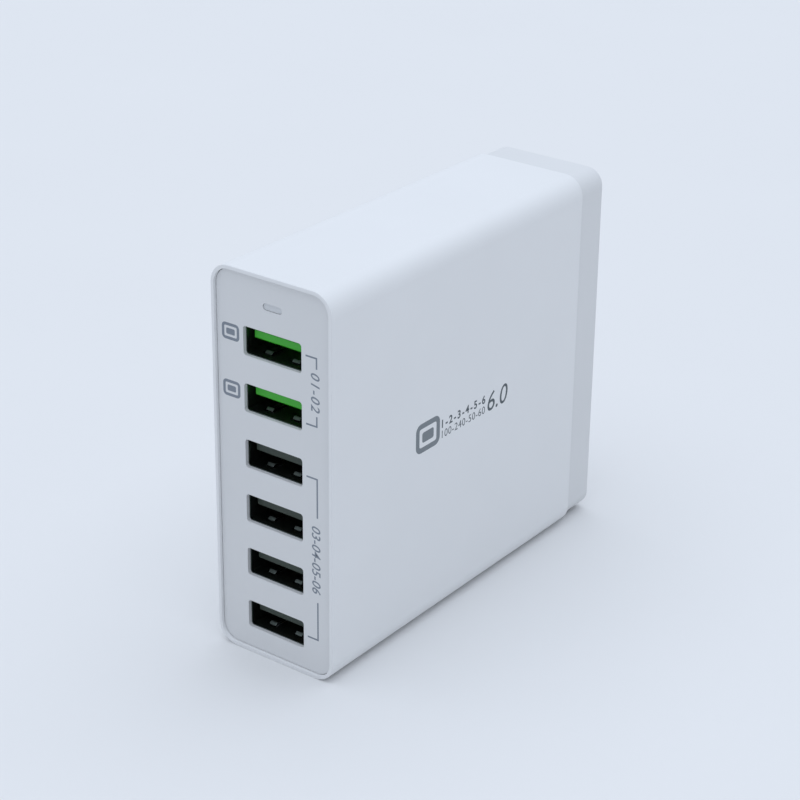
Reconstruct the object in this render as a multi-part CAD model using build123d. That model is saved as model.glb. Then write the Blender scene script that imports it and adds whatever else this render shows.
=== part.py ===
from build123d import *
import os

# Desktop charger with a column of USB sockets, standing on its long narrow side.
# Millimetres, +Z up, origin in the middle of the base. The sockets face -Y, the mains inlet faces +Y.

# Column of sockets
PORT_COUNT = 6
PORT_PITCH = 10.7
LOWEST_PORT = 7.5        # centre of the lowest socket above the base
TOP_PORT_DROP = 13.2     # centre of the highest socket below the top

# One socket: folded steel shell, moulded tongue and four contacts
SOCKET_WIDTH = 12.5      # inside the shell
SOCKET_HEIGHT = 5.12
SHELL_THICKNESS = 0.3
SHELL_LENGTH = 14.0
SHELL_CORNER = 0.35      # cut across the outside of each fold
SPRING_SPREAD = 3.0      # spring leaves in the floor, to each side of the socket's middle
SPRING_WIDTH = 1.5
SPRING_SLIT = 0.3
SPRING_TIP = 1.8         # behind the shell's front edge, as the next two
SPRING_CREST = 2.3
SPRING_ROOT = 6.4
SPRING_RISE = 0.45
SPRING_TIP_RISE = 0.05
TAB_WIDTH = 1.6          # tabs that hold the shell to the board
TAB_PLACE = 9.8
TONGUE_WIDTH = 11.1
TONGUE_THICKNESS = 1.84
TONGUE_DROP = 0.66       # gap between the tongue and the shell's roof
TONGUE_SETBACK = 1.0     # tip behind the shell's front edge
TONGUE_CHAMFER = 0.3
INSULATOR_LENGTH = 4.6
INSULATOR_GAP = 0.05
CONTACT_PLACES = (-3.5, -1.0, 1.0, 3.5)
CONTACT_WIDTH = 1.0
CONTACT_THICKNESS = 0.25
OUTER_CONTACT_SETBACK = 1.9
INNER_CONTACT_SETBACK = 2.9
TAIL_FIRST = 0.9         # first contact tail behind the shell
TAIL_STEP = 1.3
TAIL_WIDTH = 0.7

# Housing
SLEEVE_WALL = 1.8
CORNER_RADIUS = 4.0
RIM_WIDTH = 0.7
FRONT_CHAMFER = 0.1
PANEL_THICKNESS = 2.0
PANEL_RECESS = 0.6
PANEL_GAP = 0.1
MOUTH_LIP = 0.75         # thickness left in front of each shell
MOUTH_MARGIN = 0.15
MOUTH_RADIUS = 0.6
POCKET_GAP = 0.1
COVER_LENGTH = 8.6
COVER_INSET = 0.6
COVER_BACK = 2.0
COVER_CHAMFER = 0.6
SPIGOT_LENGTH = 4.0
SPIGOT_WALL = 1.0
SPIGOT_GAP = 0.1
ARM_WIDTH = 7.0          # snap arms behind the panel
ARM_THICKNESS = 1.2
ARM_LENGTH = 7.5
ARM_GAP = 0.15
ARM_SHIFT = 3.5          # arms at the top and bottom, off the middle, away from the board
SNAP_SPREAD = 19.0       # snaps on the sides, above and below the middle
HOOK_RISE = 0.6
HOOK_LENGTH = 1.6
HOOK_GAP = 0.1
BEAD_PLACE = 1.2         # catches on the cover's spigot, behind its front edge
RAIL_THICKNESS = 1.2
RAIL_HEIGHT = 1.6
RAIL_GAP = 0.1

# Status light
LIGHT_WIDTH = 4.0
LIGHT_HEIGHT = 1.1
LIGHT_DROP = 5.8         # centre below the top
LIGHT_RECESS = 0.15      # front of the clear bar behind the panel's face
LIGHT_GAP = 0.08
LIGHT_FLANGE = 0.9
LIGHT_FLANGE_LENGTH = 0.8
LED_WIDTH = 5.0
LED_HEIGHT = 2.0
LED_LENGTH = 4.6
LED_GAP = 0.3
LED_LEAD_PITCH = 2.54
LED_LEAD_REACH = 1.6     # bend of the nearer lead behind the diode
LED_LEAD_STEP = 1.3

# Main board
BOARD_THICKNESS = 1.6
BOARD_EDGE_GAP = 0.15
BOARD_FRONT_GAP = 1.0
BOARD_REAR_GAP = 0.5
BOARD_MARGIN = 2.3       # board left free behind the rearmost part
SOLDER_ROOM = 3.4        # behind the board, up to the sleeve
HEADROOM = 1.8           # above the tallest part on the board
SHEET_THICKNESS = 0.4
LEAD_SIZE = 0.6
LEAD_GAP = 0.15
LEAD_OUT = 1.2           # leads and tabs standing out of the solder side
LEAD_BITE = 0.5
PART_GAP = 1.6           # between neighbours on the board

# Mains inlet: two-pole, with a figure-of-eight mouth
INLET_LENGTH = 16.5
INLET_HEIGHT = 11.6
INLET_WIDTH = 20.0
INLET_ABOVE_BASE = 6.0
INLET_GAP = 0.1
INLET_RIB = 1.2
INLET_RIB_LENGTH = 6.0
LOBE_DIAMETER = 8.0
PIN_PITCH = 8.6
WAIST_HEIGHT = 5.8
INLET_DEPTH = 11.0
COVER_MOUTH_GAP = 0.15
PIN_DIAMETER = 2.4
PIN_LENGTH = 9.5
PIN_CHAMFER = 0.5
SHANK = 1.4
SHANK_GAP = 0.05
SHANK_REACH = 1.8

# Mains side of the board
FUSE_LENGTH = 8.4
FUSE_THICKNESS = 4.0
FUSE_HEIGHT = 8.0
FUSE_PITCH = 5.0
FILM_CAP_LENGTH = 13.0
FILM_CAP_THICKNESS = 5.0
FILM_CAP_HEIGHT = 11.5
FILM_CAP_PITCH = 10.0
CHOKE_LENGTH = 10.8
CHOKE_WIDTH = 10.0
CHOKE_THICKNESS = 3.6
CHOKE_LEG = 2.6          # legs and ends of the rectangular core
CHOKE_COIL = 1.6         # thickness of the windings
CHOKE_GAP = 0.1
BRIDGE_LENGTH = 14.4
BRIDGE_THICKNESS = 3.5
BRIDGE_HEIGHT = 10.5
BRIDGE_PITCH = 3.8
BULK_CAP_DIAMETER = 12.5
BULK_CAP_HEIGHT = 16.0
BULK_CAP_PITCH = 5.0

# Transformer
CORE_LENGTH = 23.0
CORE_WIDTH = 20.0
CORE_THICKNESS = 6.0
CORE_LEG = 6.0
CORE_SIDE = 3.0
TRANSFORMER_HEIGHT = 15.8
BOBBIN_WALL = 0.9
BOBBIN_FLANGE = 1.0
BOBBIN_GAP = 0.15
WINDING_MARGIN = 0.8     # winding below the flanges' rims
WINDING_GAP = 0.1
WINDING_CORNER = 1.5
PIN_RAIL_HEIGHT = 3.8
PIN_RAIL_DEPTH = 4.2
PIN_RAIL_PINS = 5
PIN_RAIL_PITCH = 3.0

# Heat sinks and the power transistors on them
SINK_THICKNESS = 1.6
SINK_LENGTH = 14.0
SINK_HEIGHT = 15.0
SINK_LEG_PITCH = 10.0
POWER_WIDTH = 10.0
POWER_THICKNESS = 4.5
POWER_HEIGHT = 10.5
POWER_LIFT = 3.5         # body above the board
POWER_LEAD_PITCH = 2.54

# Charging side of the board
OUTPUT_CAP_COUNT = 3
OUTPUT_CAP_DIAMETER = 8.0
OUTPUT_CAP_HEIGHT = 11.5
OUTPUT_CAP_PITCH = 3.5
INDUCTOR_COUNT = 2
INDUCTOR_SIZE = 8.0
INDUCTOR_HEIGHT = 5.0
INDUCTOR_CORNER = 1.6
SAFETY_CAP_LENGTH = 6.6
SAFETY_CAP_WIDTH = 4.2
SAFETY_CAP_HEIGHT = 2.6
SAFETY_CAP_LEAD = 2.0
COUPLER_LENGTH = 6.5
COUPLER_WIDTH = 4.4
COUPLER_HEIGHT = 3.4
COUPLER_PITCH = 2.54
COUPLER_LEAD = 1.0
CHIP_LENGTH = 5.0
CHIP_WIDTH = 3.9
CHIP_HEIGHT = 1.5
CHIP_PITCH = 1.27
CHIP_LEAD = 0.4
FLAT_LEAD_REACH = 0.9    # flat leads of the parts soldered to the board's face
FLAT_LEAD_THICKNESS = 0.2
CHARGE_CHIP_COUNT = 2
CHARGE_CHIP_SIZE = 5.0
CHARGE_CHIP_HEIGHT = 0.9
CHARGE_CHIP_CORNER = 0.5


def row_length(sizes):
    """Room that parts take side by side, PART_GAP apart."""
    return sum(sizes) + PART_GAP * (len(sizes) - 1)


# Room along the depth for the sockets, the output parts and the transformer with a row above and below it
TAILS = [TAIL_FIRST + TAIL_STEP * step for step in reversed(range(len(CONTACT_PLACES)))]
SOCKET_ROOM = SHELL_LENGTH + max(TAILS) + TAIL_WIDTH / 2
OUTPUT_ROOM = max(OUTPUT_CAP_DIAMETER, INDUCTOR_SIZE)
COOLED_PART = SINK_THICKNESS + POWER_THICKNESS
FLAT_SIZES = [width + 2 * FLAT_LEAD_REACH for width in (COUPLER_WIDTH, SAFETY_CAP_WIDTH)]
ABOVE_SIZES = FLAT_SIZES + [BRIDGE_THICKNESS]
BELOW_SIZES = [COOLED_PART, CHOKE_LENGTH]
TRANSFORMER_ROOM = max(CORE_LENGTH, row_length(ABOVE_SIZES), row_length(BELOW_SIZES))

# Room for the mains parts, up to the cover's back wall: beside the inlet and in front of it
MAINS_SIZES = [COOLED_PART, FILM_CAP_THICKNESS]
BOARD_TO_WALL = BOARD_MARGIN + BOARD_REAR_GAP + SPIGOT_LENGTH + COVER_LENGTH - COVER_BACK
INLET_ROOM = SHANK / 2 + SHANK_REACH + INLET_LENGTH
MAINS_ROOM = max(
    max(BULK_CAP_DIAMETER, row_length(MAINS_SIZES)) + BOARD_TO_WALL,
    row_length([FUSE_THICKNESS, INLET_ROOM]),
)

# Overall sizes, worked out from what the housing holds
COMPONENT_ROOM = max(BULK_CAP_HEIGHT, TRANSFORMER_HEIGHT, SINK_HEIGHT) + HEADROOM
WIDTH = 2 * SLEEVE_WALL + COMPONENT_ROOM + BOARD_THICKNESS + SOLDER_ROOM
HEIGHT = LOWEST_PORT + (PORT_COUNT - 1) * PORT_PITCH + TOP_PORT_DROP
CONTENTS = row_length([SOCKET_ROOM, OUTPUT_ROOM, TRANSFORMER_ROOM, MAINS_ROOM])
DEPTH = PANEL_RECESS + MOUTH_LIP + CONTENTS + COVER_BACK
MID = HEIGHT / 2
BORE_WIDTH = WIDTH - 2 * SLEEVE_WALL
BORE_HEIGHT = HEIGHT - 2 * SLEEVE_WALL
BORE_RADIUS = CORNER_RADIUS - SLEEVE_WALL

# Stations along the depth
FRONT = -DEPTH / 2
PANEL_FRONT = FRONT + PANEL_RECESS
PANEL_BACK = PANEL_FRONT + PANEL_THICKNESS
SHELL_FRONT = PANEL_FRONT + MOUTH_LIP
REAR = DEPTH / 2
SLEEVE_REAR = REAR - COVER_LENGTH
SPIGOT_FRONT = SLEEVE_REAR - SPIGOT_LENGTH
BOARD_FRONT = PANEL_BACK + BOARD_FRONT_GAP
BOARD_REAR = SPIGOT_FRONT - BOARD_REAR_GAP
INLET_REAR = REAR - COVER_BACK
INLET_FRONT = INLET_REAR - INLET_LENGTH
INLET_FLOOR = INLET_REAR - INLET_DEPTH

# Board faces, sockets and inlet across the width and height
BOARD_BACK = BORE_WIDTH / 2 - SOLDER_ROOM
BOARD_FACE = BOARD_BACK - BOARD_THICKNESS
SHELL_WIDTH = SOCKET_WIDTH + 2 * SHELL_THICKNESS
SHELL_HEIGHT = SOCKET_HEIGHT + 2 * SHELL_THICKNESS
PORT_X = BOARD_FACE - SHELL_WIDTH / 2
PORT_Z = [HEIGHT - TOP_PORT_DROP - index * PORT_PITCH for index in range(PORT_COUNT)]
TONGUE_TOP = SOCKET_HEIGHT / 2 - TONGUE_DROP
TONGUE_BOTTOM = TONGUE_TOP - TONGUE_THICKNESS
LIGHT_Z = HEIGHT - LIGHT_DROP
INLET_X = BOARD_FACE - INLET_HEIGHT / 2
INLET_Z = INLET_ABOVE_BASE + INLET_WIDTH / 2
INLET_TOP = INLET_ABOVE_BASE + INLET_WIDTH

# Snaps as (turn about the depth, reach to the bore's wall, shift along that wall)
PANEL_SNAPS = [
    (0, BORE_HEIGHT / 2, -ARM_SHIFT),
    (180, BORE_HEIGHT / 2, ARM_SHIFT),
    (90, BORE_WIDTH / 2, -SNAP_SPREAD),
    (90, BORE_WIDTH / 2, SNAP_SPREAD),
]
COVER_SNAPS = [
    (turn, BORE_WIDTH / 2, shift) for turn in (90, -90) for shift in (-SNAP_SPREAD, SNAP_SPREAD)
]


def centred_stack(middle, sizes):
    """Centres of parts set side by side downwards, PART_GAP apart, the row centred on middle."""
    centres = []
    edge = middle + row_length(sizes) / 2
    for size in sizes:
        centres.append(edge - size / 2)
        edge -= size + PART_GAP
    return centres


def row(start, sizes):
    """Centres of parts set side by side from start, PART_GAP apart."""
    centres = []
    for size in sizes:
        centres.append(start + size / 2)
        start += size + PART_GAP
    return centres


def pair(y, z, pitch):
    """Two leads one above the other."""
    return [(y, z - pitch / 2), (y, z + pitch / 2)]


def comb(y, z, pitch, count):
    """A line of leads one above the other."""
    return [(y, z + pitch * (index - (count - 1) / 2)) for index in range(count)]


# Board layout, front to rear: sockets, output parts, transformer with a row above and below, mains parts
OUTPUT_Y = SHELL_FRONT + SOCKET_ROOM + PART_GAP + OUTPUT_ROOM / 2
OUTPUT_SIZES = [INDUCTOR_SIZE] * INDUCTOR_COUNT
OUTPUT_SIZES += [OUTPUT_CAP_DIAMETER] * OUTPUT_CAP_COUNT
OUTPUT_SIZES += [CHARGE_CHIP_SIZE] * CHARGE_CHIP_COUNT
OUTPUT_Z = centred_stack(MID, OUTPUT_SIZES)
INDUCTOR_Z = OUTPUT_Z[:INDUCTOR_COUNT]
OUTPUT_CAP_Z = OUTPUT_Z[INDUCTOR_COUNT:INDUCTOR_COUNT + OUTPUT_CAP_COUNT]
CHARGE_CHIP_Z = OUTPUT_Z[INDUCTOR_COUNT + OUTPUT_CAP_COUNT:]

CORE_FRONT = OUTPUT_Y + OUTPUT_ROOM / 2 + PART_GAP
CORE_Y = CORE_FRONT + CORE_LENGTH / 2
CORE_X = BOARD_FACE - TRANSFORMER_HEIGHT / 2
ABOVE_CORE = MID + CORE_WIDTH / 2 + PART_GAP
BELOW_CORE = MID - CORE_WIDTH / 2 - PART_GAP
COUPLER_Y, SAFETY_CAP_Y, BRIDGE_Y = row(CORE_FRONT, ABOVE_SIZES)
SAFETY_CAP_Z, PWM_Z = row(ABOVE_CORE, (SAFETY_CAP_LENGTH, CHIP_LENGTH))
PWM_Y = SAFETY_CAP_Y
SECOND_Y, CHOKE_Y = row(CORE_FRONT, BELOW_SIZES)
SECOND_Z = BELOW_CORE - SINK_LENGTH / 2
COIL_GROWTH = CHOKE_COIL + CHOKE_GAP
COIL_LENGTH = CHOKE_LENGTH - 2 * CHOKE_LEG - 2 * CHOKE_GAP
CHOKE_Z = BELOW_CORE - CHOKE_WIDTH / 2 - COIL_GROWTH
CHOKE_LEG_Z = [CHOKE_Z + side * (CHOKE_WIDTH - CHOKE_LEG) / 2 for side in (-1, 1)]
COIL_LEAD_Y = [CHOKE_Y + side * (COIL_LENGTH / 2 - LEAD_SIZE) for side in (-1, 1)]

MAINS_FRONT = CORE_FRONT + TRANSFORMER_ROOM + PART_GAP
PRIMARY_Y, FILM_CAP_Y = row(MAINS_FRONT, MAINS_SIZES)
PRIMARY_Z, *BULK_CAP_Z = row(INLET_TOP + PART_GAP, (SINK_LENGTH, BULK_CAP_DIAMETER, BULK_CAP_DIAMETER))
BULK_CAP_Y = MAINS_FRONT + BULK_CAP_DIAMETER / 2
FILM_CAP_Z = PRIMARY_Z
FUSE_Y = MAINS_FRONT + FUSE_THICKNESS / 2
FUSE_Z = INLET_Z
SINK_SHIFT = -POWER_THICKNESS / 2      # plate in front, transistor behind it
POWER_SHIFT = SINK_THICKNESS / 2
PIN_RAIL_Y = CORE_LENGTH / 2 - PIN_RAIL_DEPTH / 2
LED_REAR = PANEL_BACK + LIGHT_FLANGE_LENGTH + LED_GAP + LED_LENGTH
LED_BENDS = [LED_REAR + LED_LEAD_REACH + LED_LEAD_STEP, LED_REAR + LED_LEAD_REACH]

# Leads through the board as (depth, height), by part
LEADS = {
    "fuse": pair(FUSE_Y, FUSE_Z, FUSE_PITCH),
    "x_capacitor": pair(FILM_CAP_Y, FILM_CAP_Z, FILM_CAP_PITCH),
    "choke_winding": [(y, z) for y in COIL_LEAD_Y for z in CHOKE_LEG_Z],
    "bridge_rectifier": comb(BRIDGE_Y, ABOVE_CORE + BRIDGE_LENGTH / 2, BRIDGE_PITCH, 4),
    "bulk_capacitor_1": pair(BULK_CAP_Y, BULK_CAP_Z[0], BULK_CAP_PITCH),
    "bulk_capacitor_2": pair(BULK_CAP_Y, BULK_CAP_Z[1], BULK_CAP_PITCH),
    "transformer_bobbin": comb(CORE_Y - PIN_RAIL_Y, MID, PIN_RAIL_PITCH, PIN_RAIL_PINS)
    + comb(CORE_Y + PIN_RAIL_Y, MID, PIN_RAIL_PITCH, PIN_RAIL_PINS),
    "primary_heat_sink": pair(PRIMARY_Y + SINK_SHIFT, PRIMARY_Z, SINK_LEG_PITCH),
    "primary_transistor": comb(PRIMARY_Y + POWER_SHIFT, PRIMARY_Z, POWER_LEAD_PITCH, 3),
    "secondary_heat_sink": pair(SECOND_Y + SINK_SHIFT, SECOND_Z, SINK_LEG_PITCH),
    "secondary_rectifier": comb(SECOND_Y + POWER_SHIFT, SECOND_Z, POWER_LEAD_PITCH, 3),
}
for number, height in enumerate(OUTPUT_CAP_Z, 1):
    LEADS[f"output_capacitor_{number}"] = pair(OUTPUT_Y, height, OUTPUT_CAP_PITCH)


# Shapes shared by several pieces
def block(x, y, z):
    """Box between (low, high) pairs along each axis."""
    size = [high - low for low, high in (x, y, z)]
    centre = [(low + high) / 2 for low, high in (x, y, z)]
    return Pos(*centre) * Box(*size)


def about(centre, size):
    """(low, high) pair of a given size about a centre."""
    return centre - size / 2, centre + size / 2


def along_depth(sketch, y_from, y_to, x=0.0, z=0.0):
    """A section drawn as seen from behind, extruded along the depth."""
    plane = Plane(origin=(x, y_from, z), x_dir=(1, 0, 0), z_dir=(0, 1, 0))
    return extrude(plane * sketch, y_to - y_from)


def bar(width, height, radius, y_from, y_to, x=0.0, z=0.0):
    """Bar with a rounded-rectangle section, lying along the depth."""
    return along_depth(RectangleRounded(width, height, radius), y_from, y_to, x, z)


def housing_bar(inset, y_from, y_to):
    """Bar that follows the sleeve's outline, set in from it."""
    return bar(WIDTH - 2 * inset, HEIGHT - 2 * inset, CORNER_RADIUS - inset, y_from, y_to, z=MID)


def off_board(sketch, height, y, z, lift=0.0):
    """A section extruded away from the board's face."""
    plane = Plane(origin=(BOARD_FACE - lift, y, z), x_dir=(0, 1, 0), z_dir=(-1, 0, 0))
    return extrude(plane * sketch, height)


def from_side(points, x_from, x_to):
    """An outline of (y, z) points extruded across the width."""
    outline = make_face(Polyline(*[(x_from, y, z) for y, z in points], close=True))
    return extrude(outline, x_to - x_from, dir=(1, 0, 0))


def from_above(points, z_from, z_to):
    """An outline of (x, y) points extruded upwards."""
    outline = make_face(Polyline(*[(x, y, z_from) for x, y in points], close=True))
    return extrude(outline, z_to - z_from, dir=(0, 0, 1))


def lead(y, z):
    """Square lead from inside a part, through the board and out of its solder side."""
    return block((BOARD_FACE - LEAD_BITE, BOARD_BACK + LEAD_OUT), about(y, LEAD_SIZE), about(z, LEAD_SIZE))


def with_leads(name, body):
    """A part together with its own leads."""
    return body + [lead(y, z) for y, z in LEADS[name]]


def bent_lead(x, width, start, bend, tail, end, z):
    """Strip that runs along the depth from start and turns sideways at bend, where it is tail wide."""
    left, right = about(x, width)
    near, far = sorted(about(bend, tail), key=lambda y: abs(y - start))
    points = [(left, start), (right, start), (right, near), (end, near), (end, far), (left, far)]
    return from_above(points, *z)


def box_part(height, y, y_size, z, z_size):
    """Plain moulded part standing on the board."""
    return off_board(Rectangle(y_size, z_size), height, y, z)


# Housing
def snap_place(turn, shift):
    """Puts a snap modelled at the middle of the bottom wall on another wall."""
    return Pos(0, 0, MID) * Rot(0, turn, 0) * Pos(shift, 0, 0)


def catch(reach, rise, flat_end, ramp_end):
    """Wedge on a snap: a square face that holds and a ramp that lets it slide in."""
    points = [(flat_end, -reach), (flat_end, -reach - rise), (ramp_end, -reach)]
    return from_side(points, -ARM_WIDTH / 2, ARM_WIDTH / 2)


def snap_arm(reach):
    """Springy arm behind the panel with a hook at its end."""
    outer = reach - ARM_GAP
    tip = PANEL_BACK + ARM_LENGTH
    beam = block(about(0, ARM_WIDTH), (PANEL_BACK, tip), (-outer, -outer + ARM_THICKNESS))
    return beam + catch(outer, HOOK_RISE, tip - HOOK_LENGTH, tip)


def snap_pocket(reach, rise, y_from, y_to):
    """Recess in the sleeve's wall that takes a hook or a bead."""
    width = ARM_WIDTH + 2 * HOOK_GAP
    return block(about(0, width), (y_from - HOOK_GAP, y_to + HOOK_GAP), (-reach - rise - HOOK_GAP, -reach))


def board_rail(x_from, x_to):
    """Ribs along the floor and roof of the sleeve, on one side of the board."""
    depth = (PANEL_BACK, BOARD_REAR)
    low = block((x_from, x_to), depth, (SLEEVE_WALL / 2, SLEEVE_WALL + RAIL_HEIGHT))
    return low + mirror(low, about=Plane.XY.offset(MID))


def outer_sleeve():
    """White tube of the body: thin rim in front, seat for the panel, rails for the board."""
    sleeve = housing_bar(0, FRONT, SLEEVE_REAR)
    sleeve = chamfer(sleeve.faces().sort_by(Axis.Y)[0].edges(), FRONT_CHAMFER)
    sleeve -= housing_bar(SLEEVE_WALL, FRONT, SLEEVE_REAR)
    sleeve -= housing_bar(RIM_WIDTH, FRONT, PANEL_BACK)
    sleeve += board_rail(BOARD_FACE - RAIL_GAP - RAIL_THICKNESS, BOARD_FACE - RAIL_GAP)
    sleeve += board_rail(BOARD_BACK + RAIL_GAP, BOARD_BACK + RAIL_GAP + RAIL_THICKNESS)
    hook_tip = PANEL_BACK + ARM_LENGTH
    for turn, reach, shift in PANEL_SNAPS:
        pocket = snap_pocket(reach, HOOK_RISE - ARM_GAP, hook_tip - HOOK_LENGTH, hook_tip)
        sleeve -= snap_place(turn, shift) * pocket
    bead = SPIGOT_FRONT + BEAD_PLACE
    for turn, reach, shift in COVER_SNAPS:
        pocket = snap_pocket(reach, HOOK_RISE - SPIGOT_GAP, bead, bead + HOOK_LENGTH)
        sleeve -= snap_place(turn, shift) * pocket
    return sleeve


def front_panel():
    """Plate let into the rim: socket mouths, pockets that hold the shells, light slot, snap arms."""
    panel = housing_bar(RIM_WIDTH + PANEL_GAP, PANEL_FRONT, PANEL_BACK)
    mouth = RectangleRounded(SOCKET_WIDTH + 2 * MOUTH_MARGIN, SOCKET_HEIGHT + 2 * MOUTH_MARGIN, MOUTH_RADIUS)
    pocket = Rectangle(SHELL_WIDTH + 2 * POCKET_GAP, SHELL_HEIGHT + 2 * POCKET_GAP)
    for z in PORT_Z:
        panel -= along_depth(mouth, PANEL_FRONT, PANEL_BACK, PORT_X, z)
        panel -= along_depth(pocket, SHELL_FRONT, PANEL_BACK, PORT_X, z)
    slot = SlotOverall(LIGHT_WIDTH + 2 * LIGHT_GAP, LIGHT_HEIGHT + 2 * LIGHT_GAP)
    panel -= along_depth(slot, PANEL_FRONT, PANEL_BACK, z=LIGHT_Z)
    for turn, reach, shift in PANEL_SNAPS:
        panel += snap_place(turn, shift) * snap_arm(reach)
    return panel


def eight(margin):
    """Figure-of-eight section of the mains inlet, long way up."""
    lobes = [Pos(0, side * PIN_PITCH / 2) * Circle(LOBE_DIAMETER / 2 + margin) for side in (-1, 1)]
    return Rectangle(WAIST_HEIGHT + 2 * margin, PIN_PITCH) + lobes


def rear_cover():
    """Band and back wall behind the sleeve, with a spigot that snaps into it and ribs round the inlet."""
    spigot = SLEEVE_WALL + SPIGOT_GAP
    cover = housing_bar(COVER_INSET, SLEEVE_REAR, REAR)
    cover = chamfer(cover.faces().sort_by(Axis.Y)[-1].edges(), COVER_CHAMFER)
    cover += housing_bar(spigot, SPIGOT_FRONT, SLEEVE_REAR)
    cover -= housing_bar(spigot + SPIGOT_WALL, SPIGOT_FRONT, INLET_REAR)
    cover -= along_depth(eight(COVER_MOUTH_GAP), INLET_REAR, REAR, INLET_X, INLET_Z)
    for side in (-1, 1):
        rib_z = INLET_Z + side * (INLET_WIDTH / 2 + INLET_GAP + INLET_RIB / 2)
        depth = (INLET_REAR - INLET_RIB_LENGTH, INLET_REAR)
        cover += block(about(INLET_X, INLET_HEIGHT), depth, about(rib_z, INLET_RIB))
    bead = SPIGOT_FRONT + BEAD_PLACE
    for turn, reach, shift in COVER_SNAPS:
        cover += snap_place(turn, shift) * catch(reach - SPIGOT_GAP, HOOK_RISE, bead + HOOK_LENGTH, bead)
    return cover


def light_pipe():
    """Clear bar that fills the slot above the sockets, with a flange behind the panel."""
    front = PANEL_FRONT + LIGHT_RECESS
    pipe = along_depth(SlotOverall(LIGHT_WIDTH, LIGHT_HEIGHT), front, PANEL_BACK, z=LIGHT_Z)
    flange = Rectangle(LIGHT_WIDTH + 2 * LIGHT_FLANGE, LIGHT_HEIGHT + 2 * LIGHT_FLANGE)
    return pipe + along_depth(flange, PANEL_BACK, PANEL_BACK + LIGHT_FLANGE_LENGTH, z=LIGHT_Z)


# Sockets, modelled about their own middle with the front edge at zero depth
def spring_leaf(x):
    """Leaf cut free in the shell's floor and bent inwards."""
    outer = -SHELL_HEIGHT / 2
    line = [
        (SPRING_ROOT + SHELL_THICKNESS, outer),
        (SPRING_ROOT, outer),
        (SPRING_CREST, outer + SPRING_RISE),
        (SPRING_TIP, outer + SPRING_TIP_RISE),
    ]
    back = [(y, z + SHELL_THICKNESS) for y, z in reversed(line)]
    return from_side(line + back, *about(x, SPRING_WIDTH))


def usb_shell():
    """Folded steel shell: open tube with two spring leaves cut out of its floor, and tabs for the board."""
    outline = chamfer(Rectangle(SHELL_WIDTH, SHELL_HEIGHT).vertices(), SHELL_CORNER)
    shell = along_depth(outline - Rectangle(SOCKET_WIDTH, SOCKET_HEIGHT), 0, SHELL_LENGTH)
    for side in (-1, 1):
        x = side * SPRING_SPREAD
        window = (SPRING_TIP - SPRING_SLIT, SPRING_ROOT)
        floor = (-SHELL_HEIGHT / 2, -SOCKET_HEIGHT / 2)
        shell -= block(about(x, SPRING_WIDTH + 2 * SPRING_SLIT), window, floor)
        shell += spring_leaf(x)
        tab_x = (SHELL_WIDTH / 2 - SHELL_CORNER, SHELL_WIDTH / 2 + BOARD_THICKNESS + LEAD_OUT)
        tab_z = about(side * (SHELL_HEIGHT - SHELL_THICKNESS) / 2, SHELL_THICKNESS)
        shell += block(tab_x, about(TAB_PLACE, TAB_WIDTH), tab_z)
    return shell


def usb_tongue():
    """Moulded insulator: a block at the back of the shell and the tongue that a plug slides over."""
    block_front = SHELL_LENGTH - INSULATOR_LENGTH
    tongue = block(about(0, TONGUE_WIDTH), (TONGUE_SETBACK, SHELL_LENGTH), (TONGUE_BOTTOM, TONGUE_TOP))
    tongue = chamfer(tongue.faces().sort_by(Axis.Y)[0].edges(), TONGUE_CHAMFER)
    width = SOCKET_WIDTH - 2 * INSULATOR_GAP
    height = SOCKET_HEIGHT - 2 * INSULATOR_GAP
    tongue += block(about(0, width), (block_front, SHELL_LENGTH), about(0, height))
    for x in CONTACT_PLACES:
        slot_z = (TONGUE_BOTTOM - CONTACT_THICKNESS - INSULATOR_GAP, TONGUE_BOTTOM)
        tongue -= block(about(x, CONTACT_WIDTH + 2 * INSULATOR_GAP), (block_front, SHELL_LENGTH), slot_z)
    return tongue


def usb_contacts():
    """Four strips under the tongue, the outer two longer, each with a tail that turns into the board."""
    strips = []
    tail_end = SHELL_WIDTH / 2 + BOARD_THICKNESS + LEAD_OUT
    for x, tail in zip(CONTACT_PLACES, TAILS):
        outermost = abs(x) == max(CONTACT_PLACES)
        tip = TONGUE_SETBACK + (OUTER_CONTACT_SETBACK if outermost else INNER_CONTACT_SETBACK)
        height = (TONGUE_BOTTOM - CONTACT_THICKNESS, TONGUE_BOTTOM)
        strips.append(bent_lead(x, CONTACT_WIDTH, tip, SHELL_LENGTH + tail, TAIL_WIDTH, tail_end, height))
    return Compound(strips)


# Board and what stands on it
def board_hole(y, y_size, z, z_size):
    """Rectangular hole with clearance round a lead, tail or tab."""
    thickness = (BOARD_FACE, BOARD_BACK)
    return block(thickness, about(y, y_size + 2 * LEAD_GAP), about(z, z_size + 2 * LEAD_GAP))


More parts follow.
